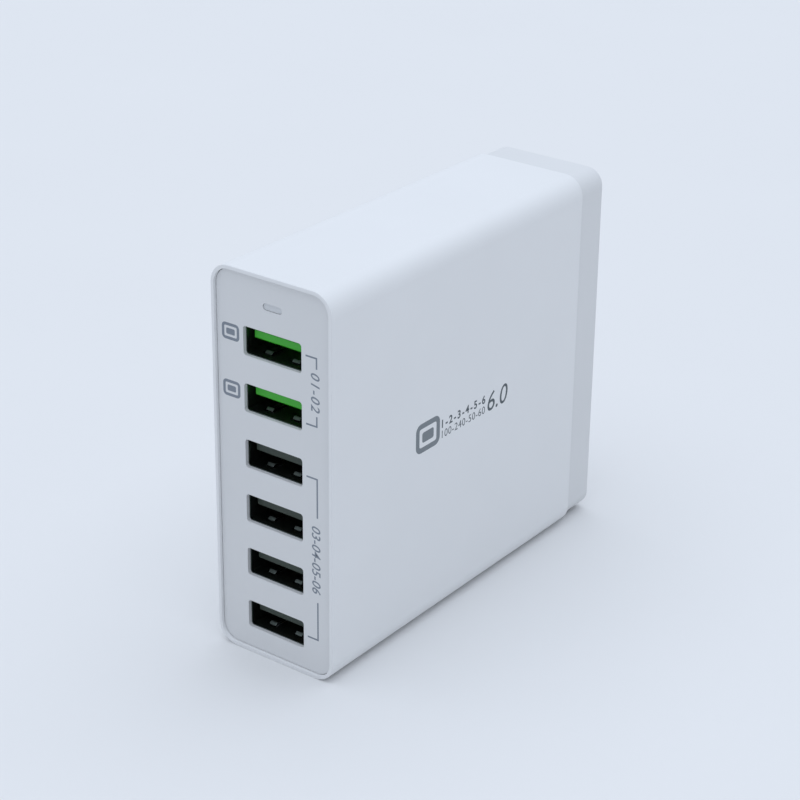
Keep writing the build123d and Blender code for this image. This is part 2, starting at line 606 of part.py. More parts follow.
def main_board():
    """Circuit board held in the sleeve's rails, with a hole for each lead."""
    height = (SLEEVE_WALL + BOARD_EDGE_GAP, HEIGHT - SLEEVE_WALL - BOARD_EDGE_GAP)
    board = block((BOARD_FACE, BOARD_BACK), (BOARD_FRONT, BOARD_REAR), height)
    holes = [board_hole(y, LEAD_SIZE, z, LEAD_SIZE) for part in LEADS.values() for y, z in part]
    for port_z in PORT_Z:
        strip_z = port_z + TONGUE_BOTTOM - CONTACT_THICKNESS / 2
        for tail in TAILS:
            tail_y = SHELL_FRONT + SHELL_LENGTH + tail
            holes.append(board_hole(tail_y, TAIL_WIDTH, strip_z, CONTACT_THICKNESS))
        for side in (-1, 1):
            tab_z = port_z + side * (SHELL_HEIGHT - SHELL_THICKNESS) / 2
            holes.append(board_hole(SHELL_FRONT + TAB_PLACE, TAB_WIDTH, tab_z, SHELL_THICKNESS))
    for bend in LED_BENDS:
        holes.append(board_hole(bend, LEAD_SIZE, LIGHT_Z, LEAD_SIZE))
    for _, pin_z in pair(0, INLET_Z, PIN_PITCH):
        holes.append(board_hole(INLET_FRONT - SHANK_REACH, SHANK, pin_z, SHANK))
    return board - holes


def insulation_sheet():
    """Thin sheet on the sleeve's wall behind the solder side."""
    wall = BORE_WIDTH / 2
    height = BORE_HEIGHT - 2 * BORE_RADIUS
    return block((wall - SHEET_THICKNESS, wall), (BOARD_FRONT, BOARD_REAR), about(MID, height))


def status_led():
    """Flat light-emitting diode behind the light pipe, its two leads bent into the board."""
    led = block(about(0, LED_WIDTH), (LED_REAR - LED_LENGTH, LED_REAR), about(LIGHT_Z, LED_HEIGHT))
    height = about(LIGHT_Z, LEAD_SIZE)
    for side, bend in zip((-1, 1), LED_BENDS):
        x = side * LED_LEAD_PITCH / 2
        led += bent_lead(x, LEAD_SIZE, LED_REAR - LEAD_BITE, bend, LEAD_SIZE, BOARD_BACK + LEAD_OUT, height)
    return led


def ac_inlet():
    """Moulded body of the mains inlet, lying on the board against the cover's back wall."""
    body = block(about(INLET_X, INLET_HEIGHT), (INLET_FRONT, INLET_REAR), about(INLET_Z, INLET_WIDTH))
    body -= along_depth(eight(0), INLET_FLOOR, INLET_REAR, INLET_X, INLET_Z)
    hole = SHANK + 2 * SHANK_GAP
    for _, pin_z in pair(0, INLET_Z, PIN_PITCH):
        body -= block(about(INLET_X, hole), (INLET_FRONT, INLET_FLOOR), about(pin_z, hole))
    return body


def ac_inlet_pins():
    """Two round pins with square shanks that pass out of the body and turn down into the board."""
    pins = []
    bend = INLET_FRONT - SHANK_REACH
    for _, pin_z in pair(0, INLET_Z, PIN_PITCH):
        pin = along_depth(Circle(PIN_DIAMETER / 2), INLET_FLOOR, INLET_FLOOR + PIN_LENGTH, INLET_X, pin_z)
        pin = chamfer(pin.faces().sort_by(Axis.Y)[-1].edges(), PIN_CHAMFER)
        height = about(pin_z, SHANK)
        pins.append(pin + bent_lead(INLET_X, SHANK, INLET_FLOOR, bend, SHANK, BOARD_BACK + LEAD_OUT, height))
    return Compound(pins)


def round_part(diameter, height, y, z):
    """Cylinder standing on the board."""
    return off_board(Circle(diameter / 2), height, y, z)


def bulk_capacitor(number):
    """Tall can that stores the rectified mains."""
    can = round_part(BULK_CAP_DIAMETER, BULK_CAP_HEIGHT, BULK_CAP_Y, BULK_CAP_Z[number - 1])
    return with_leads(f"bulk_capacitor_{number}", can)


def output_capacitor(number):
    """Smaller can on the charging side."""
    can = round_part(OUTPUT_CAP_DIAMETER, OUTPUT_CAP_HEIGHT, OUTPUT_Y, OUTPUT_CAP_Z[number - 1])
    return with_leads(f"output_capacitor_{number}", can)


def choke_core():
    """Rectangular ferrite frame of the mains filter, lying flat inside its windings."""
    window = Rectangle(CHOKE_LENGTH - 2 * CHOKE_LEG, CHOKE_WIDTH - 2 * CHOKE_LEG)
    frame = Rectangle(CHOKE_LENGTH, CHOKE_WIDTH) - window
    return off_board(frame, CHOKE_THICKNESS, CHOKE_Y, CHOKE_Z, lift=COIL_GROWTH)


def choke_winding():
    """Two windings, one round each long leg of the frame."""
    coils = Part()
    height = CHOKE_THICKNESS + 2 * COIL_GROWTH
    hole = Rectangle(COIL_LENGTH, CHOKE_LEG + 2 * CHOKE_GAP)
    for z in CHOKE_LEG_Z:
        coil = box_part(height, CHOKE_Y, COIL_LENGTH, z, CHOKE_LEG + 2 * COIL_GROWTH)
        coils += coil - off_board(hole, CHOKE_THICKNESS + 2 * CHOKE_GAP, CHOKE_Y, z, lift=CHOKE_COIL)
    return with_leads("choke_winding", coils)


def transformer_core():
    """Two E-shaped ferrite halves that meet at their legs."""
    thickness = about(CORE_X, CORE_THICKNESS)
    half = block(thickness, (CORE_FRONT, CORE_Y), about(MID, CORE_WIDTH))
    window = (CORE_WIDTH - CORE_LEG - 2 * CORE_SIDE) / 2
    for side in (-1, 1):
        window_z = MID + side * (CORE_LEG + window) / 2
        half -= block(thickness, (CORE_FRONT + CORE_SIDE, CORE_Y), about(window_z, window))
    return Compound([half, mirror(half, about=Plane.XZ.offset(-CORE_Y))])


def transformer_bobbin():
    """Former round the middle leg: tube, two end flanges and rails with the pins."""
    inside = CORE_LENGTH - 2 * CORE_SIDE - 2 * BOBBIN_GAP
    hole = CORE_LEG + 2 * BOBBIN_GAP
    hole_x = CORE_THICKNESS + 2 * BOBBIN_GAP
    rim_z = CORE_WIDTH - 2 * CORE_SIDE - 2 * BOBBIN_GAP
    depth = about(CORE_Y, inside)
    tube = block(about(CORE_X, hole_x + 2 * BOBBIN_WALL), depth, about(MID, hole + 2 * BOBBIN_WALL))
    for side in (-1, 1):
        flange_y = CORE_Y + side * (inside - BOBBIN_FLANGE) / 2
        tube += block(about(CORE_X, TRANSFORMER_HEIGHT), about(flange_y, BOBBIN_FLANGE), about(MID, rim_z))
        rail_y = CORE_Y + side * PIN_RAIL_Y
        rail_x = (BOARD_FACE - PIN_RAIL_HEIGHT, BOARD_FACE)
        tube += block(rail_x, about(rail_y, PIN_RAIL_DEPTH), about(MID, rim_z))
    tube -= block(about(CORE_X, hole_x), depth, about(MID, hole))
    return with_leads("transformer_bobbin", tube)


def transformer_winding():
    """Layers of wire and tape filling the former between its flanges."""
    length = CORE_LENGTH - 2 * CORE_SIDE - 2 * (BOBBIN_GAP + BOBBIN_FLANGE + WINDING_GAP)
    rim_z = CORE_WIDTH - 2 * CORE_SIDE - 2 * (BOBBIN_GAP + WINDING_MARGIN)
    rim_x = TRANSFORMER_HEIGHT - 2 * WINDING_MARGIN
    former = 2 * (BOBBIN_GAP + BOBBIN_WALL + WINDING_GAP)
    depth = about(CORE_Y, length)
    outline = chamfer(Rectangle(rim_x, rim_z).vertices(), WINDING_CORNER)
    return along_depth(outline - Rectangle(CORE_THICKNESS + former, CORE_LEG + former), *depth, CORE_X, MID)


def heat_sink(name, y, z):
    """Aluminium plate standing on two legs in the board."""
    return with_leads(name, box_part(SINK_HEIGHT, y + SINK_SHIFT, SINK_THICKNESS, z, SINK_LENGTH))


def power_part(name, y, z):
    """Power transistor against a heat sink, on three long leads."""
    y += POWER_SHIFT
    body = off_board(Rectangle(POWER_THICKNESS, POWER_WIDTH), POWER_HEIGHT, y, z, lift=POWER_LIFT)
    for _, leg_z in LEADS[name]:
        body += box_part(POWER_LIFT + LEAD_BITE, y, LEAD_SIZE, leg_z, LEAD_SIZE)
    return with_leads(name, body)


def inductor(number):
    """Shielded inductor, a low square block with cut corners."""
    outline = chamfer(Rectangle(INDUCTOR_SIZE, INDUCTOR_SIZE).vertices(), INDUCTOR_CORNER)
    return off_board(outline, INDUCTOR_HEIGHT, OUTPUT_Y, INDUCTOR_Z[number - 1])


def flat_part(height, y, width, z, length, leads, lead_width):
    """Part soldered to the board's face, on flat leads that come out along both its long sides."""
    body = box_part(height, y, width, z, length)
    for _, lead_z in leads:
        body += box_part(FLAT_LEAD_THICKNESS, y, width + 2 * FLAT_LEAD_REACH, lead_z, lead_width)
    return body


def y_capacitor():
    """Safety capacitor across the gap between the mains and charging sides, with one broad lead a side."""
    y, z = SAFETY_CAP_Y, SAFETY_CAP_Z
    leads = [(y, z)]
    return flat_part(SAFETY_CAP_HEIGHT, y, SAFETY_CAP_WIDTH, z, SAFETY_CAP_LENGTH, leads, SAFETY_CAP_LEAD)


def optocoupler():
    """Coupler that reports the output voltage back to the mains side, with two leads a side."""
    z = ABOVE_CORE + COUPLER_LENGTH / 2
    leads = pair(COUPLER_Y, z, COUPLER_PITCH)
    return flat_part(COUPLER_HEIGHT, COUPLER_Y, COUPLER_WIDTH, z, COUPLER_LENGTH, leads, COUPLER_LEAD)


def pwm_controller():
    """Chip that drives the primary transistor, with four leads a side."""
    leads = comb(PWM_Y, PWM_Z, CHIP_PITCH, 4)
    return flat_part(CHIP_HEIGHT, PWM_Y, CHIP_WIDTH, PWM_Z, CHIP_LENGTH, leads, CHIP_LEAD)


def charge_controller(number):
    """Flat square chip with no leads, one corner cut to mark its first pad."""
    square = Rectangle(CHARGE_CHIP_SIZE, CHARGE_CHIP_SIZE)
    outline = chamfer(square.vertices()[:1], CHARGE_CHIP_CORNER)
    return off_board(outline, CHARGE_CHIP_HEIGHT, OUTPUT_Y, CHARGE_CHIP_Z[number - 1])


# Assembly
parts = {
    "outer_sleeve": outer_sleeve(),
    "front_panel": front_panel(),
    "rear_cover": rear_cover(),
    "light_pipe": light_pipe(),
    "main_board": main_board(),
    "insulation_sheet": insulation_sheet(),
    "status_led": status_led(),
    "ac_inlet": ac_inlet(),
    "ac_inlet_pins": ac_inlet_pins(),
    "fuse": with_leads("fuse", box_part(FUSE_HEIGHT, FUSE_Y, FUSE_THICKNESS, FUSE_Z, FUSE_LENGTH)),
    "x_capacitor": with_leads(
        "x_capacitor", box_part(FILM_CAP_HEIGHT, FILM_CAP_Y, FILM_CAP_THICKNESS, FILM_CAP_Z, FILM_CAP_LENGTH)
    ),
    "choke_core": choke_core(),
    "choke_winding": choke_winding(),
    "bridge_rectifier": with_leads(
        "bridge_rectifier",
        box_part(BRIDGE_HEIGHT, BRIDGE_Y, BRIDGE_THICKNESS, ABOVE_CORE + BRIDGE_LENGTH / 2, BRIDGE_LENGTH),
    ),
    "bulk_capacitor_1": bulk_capacitor(1),
    "bulk_capacitor_2": bulk_capacitor(2),
    "transformer_core": transformer_core(),
    "transformer_bobbin": transformer_bobbin(),
    "transformer_winding": transformer_winding(),
    "primary_heat_sink": heat_sink("primary_heat_sink", PRIMARY_Y, PRIMARY_Z),
    "primary_transistor": power_part("primary_transistor", PRIMARY_Y, PRIMARY_Z),
    "secondary_heat_sink": heat_sink("secondary_heat_sink", SECOND_Y, SECOND_Z),
    "secondary_rectifier": power_part("secondary_rectifier", SECOND_Y, SECOND_Z),
    "y_capacitor": y_capacitor(),
    "optocoupler": optocoupler(),
    "pwm_controller": pwm_controller(),
}
for number in range(1, OUTPUT_CAP_COUNT + 1):
    parts[f"output_capacitor_{number}"] = output_capacitor(number)
for number in range(1, INDUCTOR_COUNT + 1):
    parts[f"buck_inductor_{number}"] = inductor(number)
for number in range(1, CHARGE_CHIP_COUNT + 1):
    parts[f"charge_controller_{number}"] = charge_controller(number)

shell = usb_shell()
tongue = usb_tongue()
contacts = usb_contacts()
for number, height in enumerate(PORT_Z, 1):
    place = Pos(PORT_X, SHELL_FRONT, height)
    parts[f"usb_shell_{number}"] = place * shell
    parts[f"usb_tongue_{number}"] = place * tongue
    parts[f"usb_contacts_{number}"] = place * contacts

os.makedirs("parts", exist_ok=True)
for name, shape in parts.items():
    export_step(shape, f"parts/{name}.step")
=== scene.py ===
import math

import bpy
from mathutils import Matrix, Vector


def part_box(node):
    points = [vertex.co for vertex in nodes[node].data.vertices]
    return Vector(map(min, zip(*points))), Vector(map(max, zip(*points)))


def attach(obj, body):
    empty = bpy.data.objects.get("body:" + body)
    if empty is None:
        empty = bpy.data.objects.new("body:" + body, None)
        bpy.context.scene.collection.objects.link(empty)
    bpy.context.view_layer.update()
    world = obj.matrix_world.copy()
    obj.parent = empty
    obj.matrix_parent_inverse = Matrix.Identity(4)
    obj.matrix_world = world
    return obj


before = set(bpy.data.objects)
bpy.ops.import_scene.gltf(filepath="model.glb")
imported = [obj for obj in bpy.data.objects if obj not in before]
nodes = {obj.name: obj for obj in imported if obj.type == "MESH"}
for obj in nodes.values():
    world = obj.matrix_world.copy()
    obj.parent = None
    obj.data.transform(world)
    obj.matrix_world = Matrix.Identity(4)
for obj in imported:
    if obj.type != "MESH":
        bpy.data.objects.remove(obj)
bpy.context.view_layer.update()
MM = 0.001


# Main board
# Glass-fibre laminate, copper and a green solder mask. It stands on edge between the sleeve's rails,
# and the electrical parts are soldered to it.
COPPER_LENGTH = 8 * MM
WEAVE_LENGTH = 0.5 * MM


def linear(hex_colour):
    """An sRGB hex colour as the linear values that a shader takes."""
    shares = [int(hex_colour[i : i + 2], 16) / 255 for i in (1, 3, 5)]
    return [s / 12.92 if s <= 0.04045 else ((s + 0.055) / 1.055) ** 2.4 for s in shares] + [1.0]


def add_node(tree, kind, settings=None, links=None):
    """Adds one shader node with its settings, and links outputs of other nodes to its inputs."""
    node = tree.nodes.new(kind)
    for name, value in (settings or {}).items():
        if name in node.inputs:
            node.inputs[name].default_value = value
        else:
            setattr(node, name, value)
    for name, output in (links or {}).items():
        tree.links.new(output, node.inputs[name])
    return node


def start_finish(name, settings):
    """A new material with its shader set; gives the material, its nodes, the shader and the place
    on the piece, which patterns are laid by."""
    material = bpy.data.materials.new(name)
    material.use_nodes = True
    tree = material.node_tree
    shader = tree.nodes["Principled BSDF"]
    for socket, value in settings.items():
        shader.inputs[socket].default_value = value
    return material, tree, shader, add_node(tree, "ShaderNodeTexCoord").outputs["Object"]


def tint(tree, shader, amount, dark, light):
    """Runs the base colour from dark to light with the amount that a pattern gives."""
    ends = {"data_type": "RGBA", "A": linear(dark), "B": linear(light)}
    mix = add_node(tree, "ShaderNodeMix", ends, {"Factor": amount})
    tree.links.new(mix.outputs["Result"], shader.inputs["Base Color"])


def relief(tree, shader, height, depth, under=None):
    """Raises the surface by a pattern, to a depth in metres, over the normal of a rounded edge."""
    bump = add_node(tree, "ShaderNodeBump", {"Distance": depth}, {"Height": height})
    if under is not None:
        tree.links.new(under, bump.inputs["Normal"])
    tree.links.new(bump.outputs["Normal"], shader.inputs["Normal"])


def dress(material, *names):
    """Gives CAD nodes their material."""
    for name in names:
        nodes[name].data.materials.clear()
        nodes[name].data.materials.append(material)


def solder_mask():
    """Copper areas show paler through the mask, and the glass weave shows as a faint relief."""
    material, tree, shader, place = start_finish("solder_mask_on_laminate", {"Roughness": 0.32})
    onto_board = {"Rotation": (-math.pi / 2, -math.pi / 2, 0)}
    flat = add_node(tree, "ShaderNodeMapping", onto_board, {"Vector": place}).outputs["Vector"]
    copper = add_node(
        tree,
        "ShaderNodeTexBrick",
        {
            "Scale": 1 / COPPER_LENGTH,
            "Mortar Size": 0.05,
            "Color1": (1, 1, 1, 1),
            "Color2": (0.7, 0.7, 0.7, 1),
            "Mortar": (0, 0, 0, 1),
        },
        {"Vector": flat},
    )
    weave = add_node(tree, "ShaderNodeTexChecker", {"Scale": 1 / WEAVE_LENGTH}, {"Vector": flat})
    tint(tree, shader, copper.outputs["Color"], "#12462A", "#1E6B3D")
    relief(tree, shader, weave.outputs["Fac"], depth=0.01 * MM)
    return material


dress(solder_mask(), "main_board")


# Mains side: fuse, film capacitor, choke, bridge and two reservoir capacitors
# Bought parts with leads through the board. They clean, rectify and store the mains.
FLOW_LENGTH = 14 * MM
MOULD_GLOSS_SPREAD = 0.07
METAL_GLOSS_SPREAD = 0.08
DRAWN_STRETCH = 0.03
DRAWN_RELIEF = 0.004 * MM
WAVE_PHASE = 20  # what the wave pattern turns, in radians, over one metre at a scale of 1
TURN_RELIEF = 0.15  # as a share of a turn's width
FERRITE_GRAIN = 0.4 * MM


def gloss(tree, shader, amount, roughness, spread):
    """Varies the roughness about its mean with the amount that a pattern gives."""
    ends = {"To Min": roughness - spread, "To Max": roughness + spread}
    sheen = add_node(tree, "ShaderNodeMapRange", ends, {"Value": amount})
    tree.links.new(sheen.outputs["Result"], shader.inputs["Roughness"])


def moulded(name, dark, light, roughness, grain_mm, depth_mm, edge_mm=0.0, **settings):
    """Moulded resin or plastic: a slow drift of tone from the flow, a fine grain from the mould's
    surface, and edges as round as the mould leaves them."""
    material, tree, shader, place = start_finish(name, settings)
    slow = {"Scale": 1 / FLOW_LENGTH, "Detail": 2.0}
    flow = add_node(tree, "ShaderNodeTexNoise", slow, {"Vector": place})
    fine = {"Scale": 1 / (grain_mm * MM), "Detail": 1.0}
    grain = add_node(tree, "ShaderNodeTexNoise", fine, {"Vector": place})
    tint(tree, shader, flow.outputs["Fac"], dark, light)
    gloss(tree, shader, grain.outputs["Fac"], roughness, MOULD_GLOSS_SPREAD)
    rounded = None
    if edge_mm:
        edge = {"samples": 8, "Radius": edge_mm * MM}
        rounded = add_node(tree, "ShaderNodeBevel", edge).outputs["Normal"]
    relief(tree, shader, grain.outputs["Fac"], depth_mm * MM, rounded)
    return material


def drawn_metal(name, dark, light, roughness, line_mm, along):
    """Rolled or drawn metal: fine lines that run one way, in tone and in gloss."""
    material, tree, shader, place = start_finish(name, {"Metallic": 1.0})
    stretch = [1.0, 1.0, 1.0]
    stretch["xyz".index(along)] = DRAWN_STRETCH
    drawn = add_node(tree, "ShaderNodeMapping", {"Scale": stretch}, {"Vector": place})
    fine = {"Scale": 1 / (line_mm * MM), "Detail": 3.0}
    lines = add_node(tree, "ShaderNodeTexNoise", fine, {"Vector": drawn.outputs["Vector"]})
    tint(tree, shader, lines.outputs["Fac"], dark, light)
    gloss(tree, shader, lines.outputs["Fac"], roughness, METAL_GLOSS_SPREAD)
    relief(tree, shader, lines.outputs["Fac"], DRAWN_RELIEF)
    return material


def wound(name, dark, light, roughness, turn_mm, along, **settings):
    """Wire or tape laid turn on turn: round bands across the winding's axis."""
    material, tree, shader, place = start_finish(name, {"Roughness": roughness, **settings})
    turns = add_node(
        tree,
        "ShaderNodeTexWave",
        {
            "bands_direction": along.upper(),
            "Scale": math.tau / WAVE_PHASE / (turn_mm * MM),
            "Distortion": 0.4,
            "Detail": 1.0,
        },
        {"Vector": place},
    )
    tint(tree, shader, turns.outputs["Fac"], dark, light)
    relief(tree, shader, turns.outputs["Fac"], TURN_RELIEF * turn_mm * MM)
    return material


def pressed_ferrite():
    """Grey-black fired powder: a speckle of grains, dull all over."""
    material, tree, shader, place = start_finish("fired_ferrite", {"Roughness": 0.62})
    grains = add_node(tree, "ShaderNodeTexVoronoi", {"Scale": 1 / FERRITE_GRAIN}, {"Vector": place})
    tint(tree, shader, grains.outputs["Distance"], "#2B2D30", "#3A3C40")
    relief(tree, shader, grains.outputs["Distance"], depth=0.02 * MM)
    return material


ferrite = pressed_ferrite()
chip_resin = moulded("black_epoxy_resin", "#1B1C1E", "#26282A", roughness=0.55, grain_mm=0.3, depth_mm=0.01)
dress(
    moulded("fuse_case_resin", "#5B4A3C", "#6A5746", roughness=0.45, grain_mm=0.3, depth_mm=0.008),
    "fuse",
)
dress(
    moulded("film_capacitor_case", "#B9A23A", "#C8B148", roughness=0.4, grain_mm=0.3, depth_mm=0.006),
    "x_capacitor",
)
dress(ferrite, "choke_core")
dress(
    wound("enamelled_copper", "#7A3B1A", "#C4713A", roughness=0.28, turn_mm=0.8, along="z", Metallic=0.8),
    "choke_winding",
)
dress(chip_resin, "bridge_rectifier")
dress(
    moulded("shrunk_vinyl_sleeve", "#1C2A4C", "#24345C", roughness=0.25, grain_mm=2.5, depth_mm=0.02),
    "bulk_capacitor_1",
    "bulk_capacitor_2",
)


# Transformer
# Two ferrite halves through a moulded bobbin. The windings are wrapped in yellow polyester tape,
# and the bobbin's pins are soldered through the board.
dress(ferrite, "transformer_core")
dress(
    moulded("phenolic_bobbin", "#2A211C", "#352A23", roughness=0.5, grain_mm=0.3, depth_mm=0.008),
    "transformer_bobbin",
)
dress(
    wound("polyester_tape", "#C99A1E", "#E0B437", roughness=0.3, turn_mm=6.0, along="z"),
    "transformer_winding",
)


# Heat sinks with the switching transistor and the output rectifier
# Stamped aluminium plates that stand on the board; each power part lies flat against its plate.
mill_aluminium = drawn_metal(
    "mill_aluminium", "#A9ABAD", "#C2C4C6", roughness=0.42, line_mm=0.25, along="z"
)
dress(mill_aluminium, "primary_heat_sink", "secondary_heat_sink")
dress(chip_resin, "primary_transistor", "secondary_rectifier")


# Charging side: output capacitors, inductors, control chips and the parts that bridge the barrier
# Small parts placed by machine. They smooth the low voltage and share it between the sockets.
bare_can = drawn_metal("bare_aluminium_can", "#B4B6B9", "#CBCDCF", roughness=0.33, line_mm=0.2, along="x")
dress(bare_can, "output_capacitor_1", "output_capacitor_2", "output_capacitor_3")
dress(ferrite, "buck_inductor_1", "buck_inductor_2")
dress(chip_resin, "pwm_controller", "optocoupler", "charge_controller_1", "charge_controller_2")
dress(
    moulded("blue_safety_resin", "#1F4F8C", "#2A5F9E", roughness=0.4, grain_mm=0.4, depth_mm=0.01),
    "y_capacitor",
)


# Status light
# A small milky light-emitting diode on bent legs, right behind the panel's clear bar.
milky_epoxy = moulded(
    "milky_epoxy_lens",
    "#D8DCE0",
    "#E6E9EC",
    roughness=0.3,
    grain_mm=0.6,
    depth_mm=0.004,
    **{"Transmission Weight": 0.4},
)
dress(milky_epoxy, "status_led")


# USB sockets: shells, tongues and contacts
# Each shell is folded from nickel-plated steel, with spring leaves cut in its floor. The steel's colour is
# painted shade: far darker than bright nickel, so the sockets' insides look dark, with a green tint that
# paints the tongues' reflection. The moulded tongue carries four gold-flashed strips; the two quick sockets
# have green tongues.
SOCKETS = range(1, 7)
QUICK_SOCKETS = 2
# Painted shade: the steel's tones are far darker than nickel and tinted green. They stand in for the shade
# inside the sockets and for the green tongues' reflection.
shade_darkened_steel = drawn_metal(
    "nickel_steel_painted_shade", "#5C6460", "#707874", roughness=0.34, line_mm=0.15, along="y"
)
quick_green = moulded("green_nylon", "#30A81A", "#38B320", roughness=0.4, grain_mm=0.25, depth_mm=0.006)
plain_dark = moulded("dark_nylon", "#202D22", "#26352A", roughness=0.45, grain_mm=0.25, depth_mm=0.006)
gold_flash = drawn_metal(
    "gold_flash_on_bronze", "#C99A45", "#E0B65E", roughness=0.25, line_mm=0.1, along="y"
)
for n in SOCKETS:
    dress(shade_darkened_steel, f"usb_shell_{n}")
    dress(quick_green if n <= QUICK_SOCKETS else plain_dark, f"usb_tongue_{n}")
    dress(gold_flash, f"usb_contacts_{n}")


# Mains inlet
# A black moulded figure-of-eight socket on the board, against the rear cover's back wall, with two
# plated brass pins that run on to the board.
inlet_resin = moulded(
    "black_inlet_resin", "#17181A", "#202224", roughness=0.45, grain_mm=0.3, depth_mm=0.008, edge_mm=0.15
)
dress(inlet_resin, "ac_inlet")
dress(
    drawn_metal("nickel_plated_brass", "#B9B6AC", "#D2CFC6", roughness=0.22, line_mm=0.15, along="y"),
    "ac_inlet_pins",
)


# Insulation sheet
# A thin flat polyester film that keeps the board's soldered face off the sleeve's wall.
STREAK_LENGTH = 1.5 * MM
STREAK_STRETCH = 0.05


def polyester_film():
    """Milky film with faint streaks from rolling; it lets some light through."""
    milky = {"Roughness": 0.3, "Transmission Weight": 0.35}
    material, tree, shader, place = start_finish("milky_polyester_film", milky)
    rolled = add_node(tree, "ShaderNodeMapping", {"Scale": (1, STREAK_STRETCH, 1)}, {"Vector": place})
    along_roll = {"Vector": rolled.outputs["Vector"]}
    streaks = add_node(tree, "ShaderNodeTexNoise", {"Scale": 1 / STREAK_LENGTH}, along_roll)
    tint(tree, shader, streaks.outputs["Fac"], "#D9D8D0", "#E8E7E0")
    relief(tree, shader, streaks.outputs["Fac"], depth=0.01 * MM)
    return material


dress(polyester_film(), "insulation_sheet")


# Outer sleeve
# One white moulded tube of blended plastic, matt from a spark-eroded mould. The board slides in
# from behind, and the rear cover's beaded spigot shuts it.
sleeve_plastic = moulded(
    "matt_white_plastic", "#E2E3E4", "#E5E6E7", roughness=0.5, grain_mm=0.3, depth_mm=0.004, edge_mm=0.08
)
dress(sleeve_plastic, "outer_sleeve")


# Print on the sleeve's side
# Pad-printed in two greys: a socket mark, the socket numbers over the mains range, and a rating.
INK = 0.01 * MM
INK_PATCH = 0.8 * MM
SIDE_PRINT_Z = 38.25 * MM
SIDE_MARK_Y = -14.9 * MM
SIDE_MARK_Z = 38.75 * MM
SIDE_MARK_WIDTH = 7.2 * MM
SIDE_MARK_HEIGHT = 5.8 * MM
SIDE_MARK_LINE = 1.05 * MM
MARK_CORNER = 1.4  # a mark's corner, bar inset and bar corner, in widths of its line
MARK_BAR_INSET = 3.6
MARK_BAR_CORNER = 0.4
LINES_Y = -3.9 * MM
LINES_LENGTH = 13.5 * MM
UPPER_LINE_HEIGHT = 1.55 * MM
UPPER_LINE_WEIGHT = 0.06 * MM
LOWER_LINE_HEIGHT = 1.5 * MM
LINE_GAP = 0.6 * MM
RATING_Y = 6.95 * MM
RATING_LENGTH = 6.5 * MM
RATING_HEIGHT = 3.9 * MM
RATING_SLANT = 0.15
TRIAL_SPACING = 2.0
sleeve_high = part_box("outer_sleeve")[1]


def pad_print(name, dark, light):
    """Thin flexible ink: a little uneven where the pad lifted, and duller than the plastic."""
    material, tree, shader, place = start_finish(name, {"Roughness": 0.6})
    film = add_node(tree, "ShaderNodeTexNoise", {"Scale": 1 / INK_PATCH}, {"Vector": place})
    tint(tree, shader, film.outputs["Fac"], dark, light)
    relief(tree, shader, film.outputs["Fac"], depth=0.004 * MM)
    return material


def thicken():
    """Gives the flat shape in hand the thickness of the ink."""
    bpy.ops.object.mode_set(mode="EDIT")
    bpy.ops.mesh.select_all(action="SELECT")
    bpy.ops.mesh.extrude_region_move(TRANSFORM_OT_translate={"value": (0, 0, INK)})
    bpy.ops.mesh.select_all(action="SELECT")
    bpy.ops.mesh.normals_make_consistent(inside=False)
    bpy.ops.object.mode_set(mode="OBJECT")


def lay(shape, turn, place):
    """Turns a printed shape to its face and sets its middle at its place, half sunk in the face."""
    bpy.ops.object.origin_set(type="ORIGIN_GEOMETRY", center="BOUNDS")
    shape.rotation_euler = turn
    shape.location = place
    bpy.ops.object.transform_apply(location=True, rotation=True, scale=True)
    return shape


def join_print(name, shapes, material):
    """Joins printed shapes to one piece on the body."""
    bpy.ops.object.select_all(action="DESELECT")
    for shape in shapes:
        shape.select_set(True)
    bpy.context.view_layer.objects.active = shapes[0]
    bpy.ops.object.join()
    piece = bpy.context.object
    piece.name = name
    piece.data.materials.clear()
    piece.data.materials.append(material)
    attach(piece, "root")


def numerals(characters, height, length, turn, place, slant=0.0, weight=0.0):
    """Printed figures of a given height, spaced out to a given length. The length grows evenly with
    the spacing, so one trial spacing gives the one that fits."""
    bpy.ops.object.select_all(action="DESELECT")
    bpy.ops.object.text_add()
    figures = bpy.context.object
    text = figures.data
    text.body = characters
    text.resolution_u = 5
    text.shear = slant
    bpy.context.view_layer.update()
    text.size *= height / figures.dimensions.y
    bpy.context.view_layer.update()
    close = figures.dimensions.x
    text.space_character = TRIAL_SPACING
    bpy.context.view_layer.update()
    growth = (figures.dimensions.x - close) / (TRIAL_SPACING - 1)
    text.space_character = 1 + (length - close) / growth
    text.offset = weight
    text.extrude = INK / 2
    bpy.ops.object.convert(target="MESH")
    return lay(figures, turn, place)


def rounded_plate(width, height, corner):
    """A flat plate with rounded corners, left in edit mode with all of it selected."""
    bpy.ops.object.select_all(action="DESELECT")
    bpy.ops.mesh.primitive_plane_add(size=1)
    plate = bpy.context.object
    plate.scale = (width, height, 1)
    bpy.ops.object.transform_apply(location=True, rotation=True, scale=True)
    bpy.ops.object.mode_set(mode="EDIT")
    bpy.ops.mesh.select_all(action="SELECT")
    bpy.ops.mesh.bevel(offset=corner, segments=5, affect="VERTICES")
    bpy.ops.mesh.select_all(action="SELECT")
    return plate


def socket_mark(width, height, line, turn, place):
    """A socket seen from the front: a rounded frame, and a bar inside it for the tongue."""
    outline = rounded_plate(width, height, MARK_CORNER * line)
    bpy.ops.mesh.inset(thickness=line)
    bpy.ops.mesh.delete(type="FACE")
    bpy.ops.object.mode_set(mode="OBJECT")
    thicken()
    lay(outline, turn, place)
    inset = MARK_BAR_INSET * line
    bar = rounded_plate(width - inset, height - inset, MARK_BAR_CORNER * line)
    bpy.ops.object.mode_set(mode="OBJECT")
    thicken()
    lay(bar, turn, place)
    return [outline, bar]


def on_side(y, z):
    """A place on the sleeve's printed side."""
    return sleeve_high.x, y, z


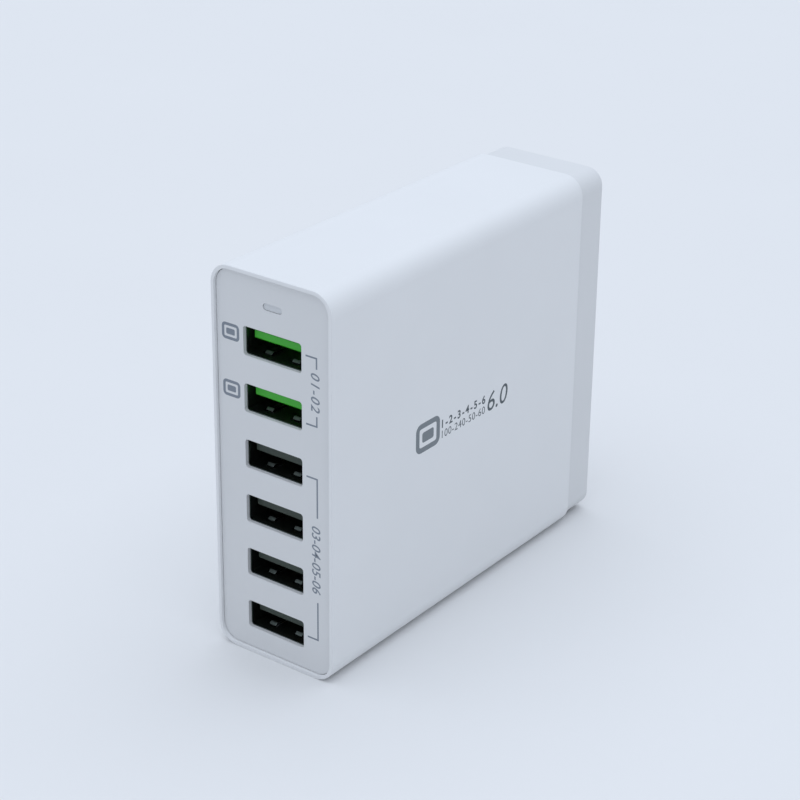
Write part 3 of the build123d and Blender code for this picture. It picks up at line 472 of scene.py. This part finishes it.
side_facing = (math.pi / 2, 0, math.pi / 2)
mark_ink = pad_print("grey_pad_ink", "#747B80", "#7E858A")
side_ink = pad_print("dark_grey_pad_ink", "#4B5358", "#565E63")
upper_line = on_side(LINES_Y, SIDE_PRINT_Z + (LINE_GAP + UPPER_LINE_HEIGHT) / 2)
lower_line = on_side(LINES_Y, SIDE_PRINT_Z - (LINE_GAP + LOWER_LINE_HEIGHT) / 2)
rating = on_side(RATING_Y, SIDE_PRINT_Z)
side_mark = socket_mark(
    SIDE_MARK_WIDTH, SIDE_MARK_HEIGHT, SIDE_MARK_LINE, side_facing, on_side(SIDE_MARK_Y, SIDE_MARK_Z)
)
side_figures = [
    numerals(
        "1-2-3-4-5-6", UPPER_LINE_HEIGHT, LINES_LENGTH, side_facing, upper_line, weight=UPPER_LINE_WEIGHT
    ),
    numerals("100-240-50-60", LOWER_LINE_HEIGHT, LINES_LENGTH, side_facing, lower_line),
    numerals("6.0", RATING_HEIGHT, RATING_LENGTH, side_facing, rating, slant=RATING_SLANT),
]
join_print("side_socket_mark", side_mark, mark_ink)
join_print("side_numbers", side_figures, side_ink)


# Front panel
# A moulded plate let into the sleeve's rim, a shade greyer than the sleeve, with six mouths and
# the slot for the status light.
panel_plastic = moulded(
    "matt_grey_white_plastic",
    "#D6D7D8",
    "#D9DADB",
    roughness=0.5,
    grain_mm=0.3,
    depth_mm=0.004,
    edge_mm=0.06,
)
dress(panel_plastic, "front_panel")


# Print on the front panel
# Grey brackets that group the sockets, with the group's numbers turned to read downwards, and a
# socket mark beside each of the two quick sockets.
BRACKET_LINE = 0.32 * MM
BRACKET_LEFT = 7.15 * MM
BRACKET_RIGHT = 9.65 * MM
# Each corner's socket, its height above that socket's middle, and how far it runs up the panel
BRACKET_CORNERS = (
    (1, 0.95 * MM, -1.85 * MM),
    (2, -0.95 * MM, 1.7 * MM),
    (3, -0.2 * MM, -7.35 * MM),
    (6, 0.15 * MM, 7.4 * MM),
)
GROUP_NUMBER_X = 9.2 * MM
GROUP_NUMBER_HEIGHT = 1.85 * MM
GROUP_NUMBER_SLANT = 0.22
GROUP_NUMBER_WEIGHT = 0.03 * MM
QUICK_GROUP_LENGTH = 7.1 * MM
QUICK_GROUP_DROP = 0.1 * MM
PLAIN_GROUP_LENGTH = 13.2 * MM
QUICK_MARK_X = -9.4 * MM
QUICK_MARK_RISE = 0.8 * MM
QUICK_MARK_WIDTH = 3.9 * MM
QUICK_MARK_HEIGHT = 3.1 * MM
QUICK_MARK_LINE = 0.55 * MM
panel_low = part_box("front_panel")[0]
socket_z = {n: sum(corner.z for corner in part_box(f"usb_shell_{n}")) / 2 for n in SOCKETS}
panel_ink = pad_print("mid_grey_pad_ink", "#78808A", "#828A94")
front_facing = (math.pi / 2, 0, 0)
reading_down = (Matrix.Rotation(math.pi / 2, 3, "Y") @ Matrix.Rotation(math.pi / 2, 3, "X")).to_euler()


def draw_out(shape, chosen, move):
    """Extrudes the edge whose ends are chosen by their place."""
    bpy.ops.object.mode_set(mode="EDIT")
    bpy.ops.mesh.select_mode(type="VERT")
    bpy.ops.mesh.select_all(action="DESELECT")
    bpy.ops.object.mode_set(mode="OBJECT")
    for vertex in shape.data.vertices:
        vertex.select = chosen(vertex.co)
    bpy.ops.object.mode_set(mode="EDIT")
    bpy.ops.mesh.extrude_edges_move(TRANSFORM_OT_translate={"value": move})
    bpy.ops.object.mode_set(mode="OBJECT")


def bracket_corner(z, run):
    """One printed corner: a square at the bend, drawn out to the left and then along the panel."""
    bpy.ops.object.select_all(action="DESELECT")
    bpy.ops.mesh.primitive_plane_add(size=BRACKET_LINE)
    corner = bpy.context.object
    left = BRACKET_LEFT - BRACKET_RIGHT + BRACKET_LINE
    draw_out(corner, lambda at: at.x < 0, (left, 0, 0))
    draw_out(corner, lambda at: at.x > -BRACKET_LINE and at.y * run > 0, (0, run, 0))
    thicken()
    middle_x = (BRACKET_LEFT + BRACKET_RIGHT) / 2
    return lay(corner, front_facing, (middle_x, panel_low.y, z + run / 2))


def group_numbers(characters, length, z):
    """The numbers of a group of sockets, beside it."""
    return numerals(
        characters,
        GROUP_NUMBER_HEIGHT,
        length,
        reading_down,
        (GROUP_NUMBER_X, panel_low.y, z),
        slant=GROUP_NUMBER_SLANT,
        weight=GROUP_NUMBER_WEIGHT,
    )


brackets = [bracket_corner(socket_z[n] + rise, run) for n, rise, run in BRACKET_CORNERS]
join_print("panel_brackets", brackets, panel_ink)

quick_group_z = (socket_z[1] + socket_z[2]) / 2 - QUICK_GROUP_DROP
plain_group_z = (socket_z[3] + socket_z[6]) / 2
panel_figures = [
    group_numbers("01-02", QUICK_GROUP_LENGTH, quick_group_z),
    group_numbers("03-04-05-06", PLAIN_GROUP_LENGTH, plain_group_z),
]
join_print("panel_numbers", panel_figures, panel_ink)

quick_marks = []
for n in SOCKETS[:QUICK_SOCKETS]:
    place = (QUICK_MARK_X, panel_low.y, socket_z[n] + QUICK_MARK_RISE)
    quick_marks += socket_mark(QUICK_MARK_WIDTH, QUICK_MARK_HEIGHT, QUICK_MARK_LINE, front_facing, place)
join_print("panel_socket_marks", quick_marks, panel_ink)


# Light pipe
# A clear moulded bar, frosted at its front, pressed into the panel's slot from behind.
frosted_plastic = moulded(
    "frosted_clear_plastic",
    "#D6D9DC",
    "#DEE1E4",
    roughness=0.35,
    grain_mm=0.3,
    depth_mm=0.004,
    **{"Transmission Weight": 0.15},
)
dress(frosted_plastic, "light_pipe")


# Rear cover
# A moulded cap a little smaller than the sleeve. Beads on its spigot snap into the sleeve from behind.
cover_plastic = moulded(
    "matt_cover_plastic", "#D8D9DA", "#DBDCDD", roughness=0.5, grain_mm=0.3, depth_mm=0.004, edge_mm=0.15
)
dress(cover_plastic, "rear_cover")


# Floor
# A pale matt sheet, wide enough to fill the picture behind the charger.
FLOOR_SIZE = 6.0
FIBRE_CLOUD = 60 * MM
bpy.ops.object.select_all(action="DESELECT")
bpy.ops.mesh.primitive_plane_add(size=FLOOR_SIZE)
floor = bpy.context.object
floor.name = "floor"


def matt_sheet():
    """Pale paper with the faintest cloud of fibre."""
    matt = {"Roughness": 0.9, "Specular IOR Level": 0.1}
    material, tree, shader, place = start_finish("pale_studio_paper", matt)
    cloud = {"Scale": 1 / FIBRE_CLOUD, "Detail": 3.0}
    fibre = add_node(tree, "ShaderNodeTexNoise", cloud, {"Vector": place})
    tint(tree, shader, fibre.outputs["Fac"], "#E2E2E2", "#E4E4E4")
    return material


floor.data.materials.append(matt_sheet())


# Light
# A wide cool soft box overhead and a pale room all round. The camera and polished pieces see the
# room close to the colour of the lit floor.
DAYLIGHT = "#EBF3FF"
LIT_FLOOR = "#DDE5EF"
SOFT_BOX_ANGLE = 80
SOFT_BOX_STRENGTH = 1.52
ROOM_STRENGTH = 0.66
bpy.ops.object.light_add(type="SUN", location=(0, 0, 1))
soft_box = bpy.context.object
soft_box.data.angle = math.radians(SOFT_BOX_ANGLE)
soft_box.data.energy = SOFT_BOX_STRENGTH
soft_box.data.color = linear(DAYLIGHT)[:3]

room = bpy.data.worlds.new("pale_room")
room.use_nodes = True
room_tree = room.node_tree
room_tree.nodes.clear()


def larger(first, second):
    """The larger of two values in the room's shader."""
    node = add_node(room_tree, "ShaderNodeMath", {"operation": "MAXIMUM"})
    room_tree.links.new(first, node.inputs[0])
    room_tree.links.new(second, node.inputs[1])
    return node.outputs[0]


ray = add_node(room_tree, "ShaderNodeLightPath").outputs
seen = larger(ray["Is Camera Ray"], larger(ray["Is Glossy Ray"], ray["Is Transmission Ray"]))
lighting = {"Color": linear(DAYLIGHT), "Strength": ROOM_STRENGTH}
glow = add_node(room_tree, "ShaderNodeBackground", lighting)
backdrop = add_node(room_tree, "ShaderNodeBackground", {"Color": linear(LIT_FLOOR), "Strength": 1.0})
either = add_node(room_tree, "ShaderNodeMixShader", {}, {"Fac": seen})
room_tree.links.new(glow.outputs[0], either.inputs[1])
room_tree.links.new(backdrop.outputs[0], either.inputs[2])
add_node(room_tree, "ShaderNodeOutputWorld", {}, {"Surface": either.outputs[0]})
bpy.context.scene.world = room


# Camera
# Stands where the photograph was taken from: to the right of the front, looking down. Its place,
# angles and lens were fitted to the edges in the photograph, for this small shift.
CAMERA_PLACE = (0.21497, -0.29165, 0.2062)
CAMERA_SWING = 34.618
CAMERA_DOWN = 23.47
CAMERA_ROLL = 1.584
CAMERA_LENS = 95.785
CAMERA_SHIFT = (-0.1, -0.075)
SENSOR_WIDTH = 36.0
NEAREST_SEEN = 0.01
bpy.ops.object.camera_add(location=CAMERA_PLACE)
camera = bpy.context.object
swing = Matrix.Rotation(math.radians(CAMERA_SWING), 3, "Z")
tilt = Matrix.Rotation(math.radians(90 - CAMERA_DOWN), 3, "X")
roll = Matrix.Rotation(math.radians(CAMERA_ROLL), 3, "Z")
camera.rotation_euler = (swing @ tilt @ roll).to_euler()
camera.data.lens = CAMERA_LENS
camera.data.shift_x, camera.data.shift_y = CAMERA_SHIFT
camera.data.sensor_width = SENSOR_WIDTH
camera.data.clip_start = NEAREST_SEEN
bpy.context.scene.camera = camera
bpy.context.scene.view_settings.view_transform = "Standard"
